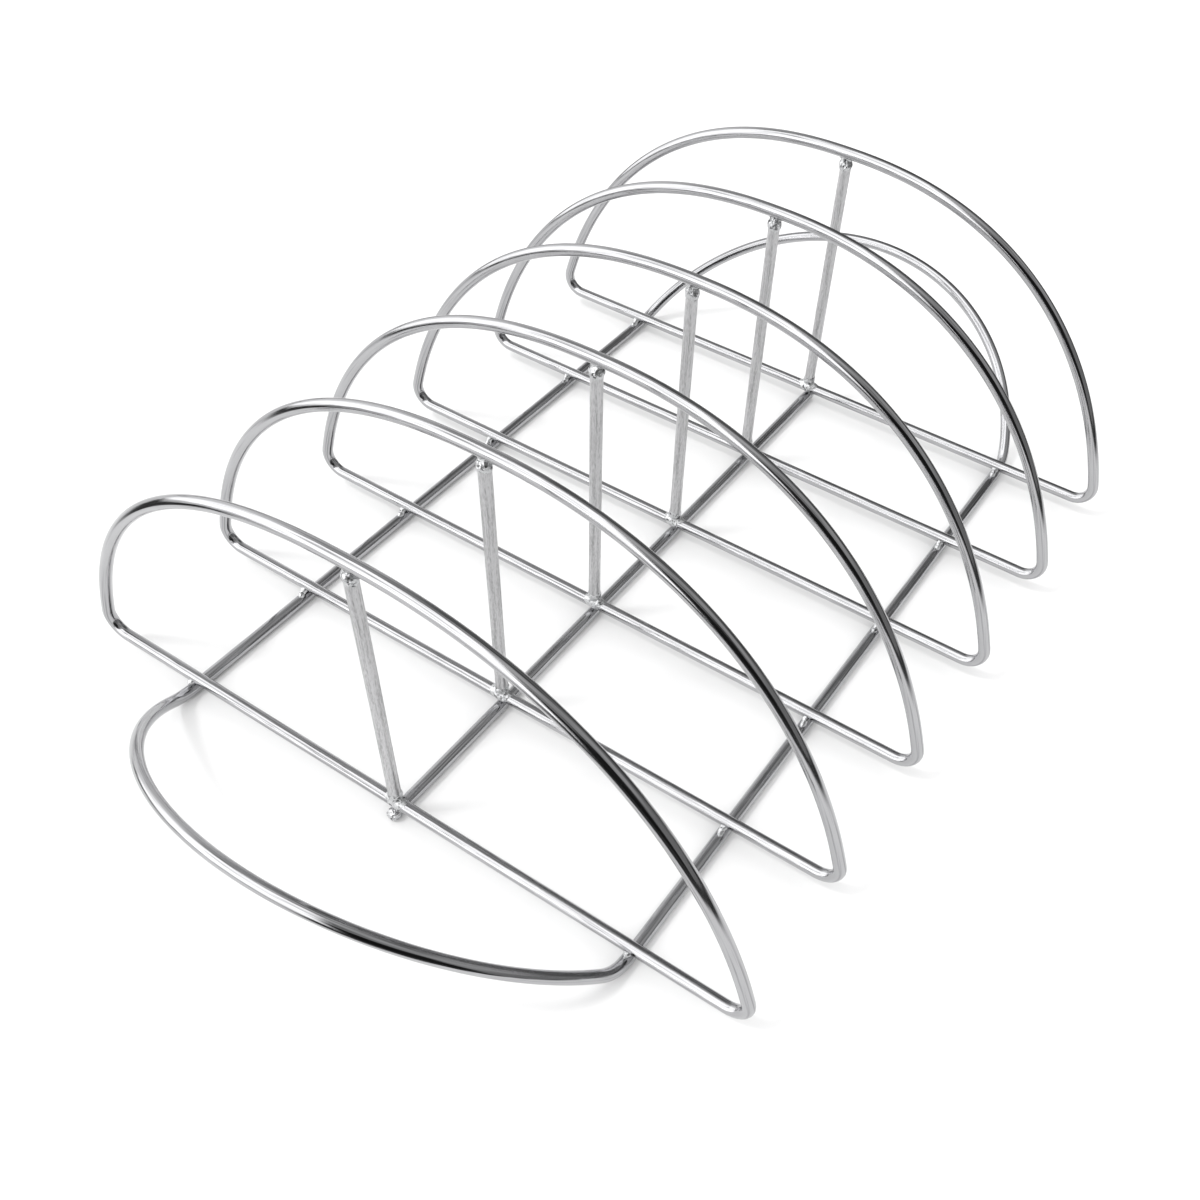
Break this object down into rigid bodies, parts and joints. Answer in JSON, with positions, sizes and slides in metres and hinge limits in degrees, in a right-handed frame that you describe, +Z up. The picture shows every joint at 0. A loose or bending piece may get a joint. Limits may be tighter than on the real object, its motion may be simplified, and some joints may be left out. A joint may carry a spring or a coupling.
{
  "type": "toast rack",
  "caption": "Welded wire toast rack: a row of D-shaped hoops with centre uprights holds slices on edge over two rails and a centre wire, with an upswept carrying bow at each end.",
  "frame": {"origin": "on the table plane under the middle of the rack", "axes": "+X across the hoops to the right, +Y along the rails to the back bow, +Z up"},
  "size_m": [0.1548, 0.2326, 0.0668],
  "materials": {
    "bright_wire": "polished",
    "drawn_wire": "satin, drawn along the wire",
    "weld_metal": "rough, as welded"
  },
  "bodies": {
    "root": {"base_frame": "bright_wire", "centre_wire": "bright_wire", "hoop_1": "bright_wire", "upright_1": "drawn_wire", "hoop_2": "bright_wire", "upright_2": "drawn_wire", "hoop_3": "bright_wire", "upright_3": "drawn_wire", "hoop_4": "bright_wire", "upright_4": "drawn_wire", "hoop_5": "bright_wire", "upright_5": "drawn_wire", "hoop_6": "bright_wire", "upright_6": "drawn_wire", "crown_weld_1": "weld_metal", "foot_weld_1": "weld_metal", "rail_weld_left_1": "weld_metal", "rail_weld_right_1": "weld_metal", "crown_weld_2": "weld_metal", "foot_weld_2": "weld_metal", "rail_weld_left_2": "weld_metal", "rail_weld_right_2": "weld_metal", "crown_weld_3": "weld_metal", "foot_weld_3": "weld_metal", "rail_weld_left_3": "weld_metal", "rail_weld_right_3": "weld_metal", "crown_weld_4": "weld_metal", "foot_weld_4": "weld_metal", "rail_weld_left_4": "weld_metal", "rail_weld_right_4": "weld_metal", "crown_weld_5": "weld_metal", "foot_weld_5": "weld_metal", "rail_weld_left_5": "weld_metal", "rail_weld_right_5": "weld_metal", "crown_weld_6": "weld_metal", "foot_weld_6": "weld_metal", "rail_weld_left_6": "weld_metal", "rail_weld_right_6": "weld_metal"}
  },
  "joints": []
}
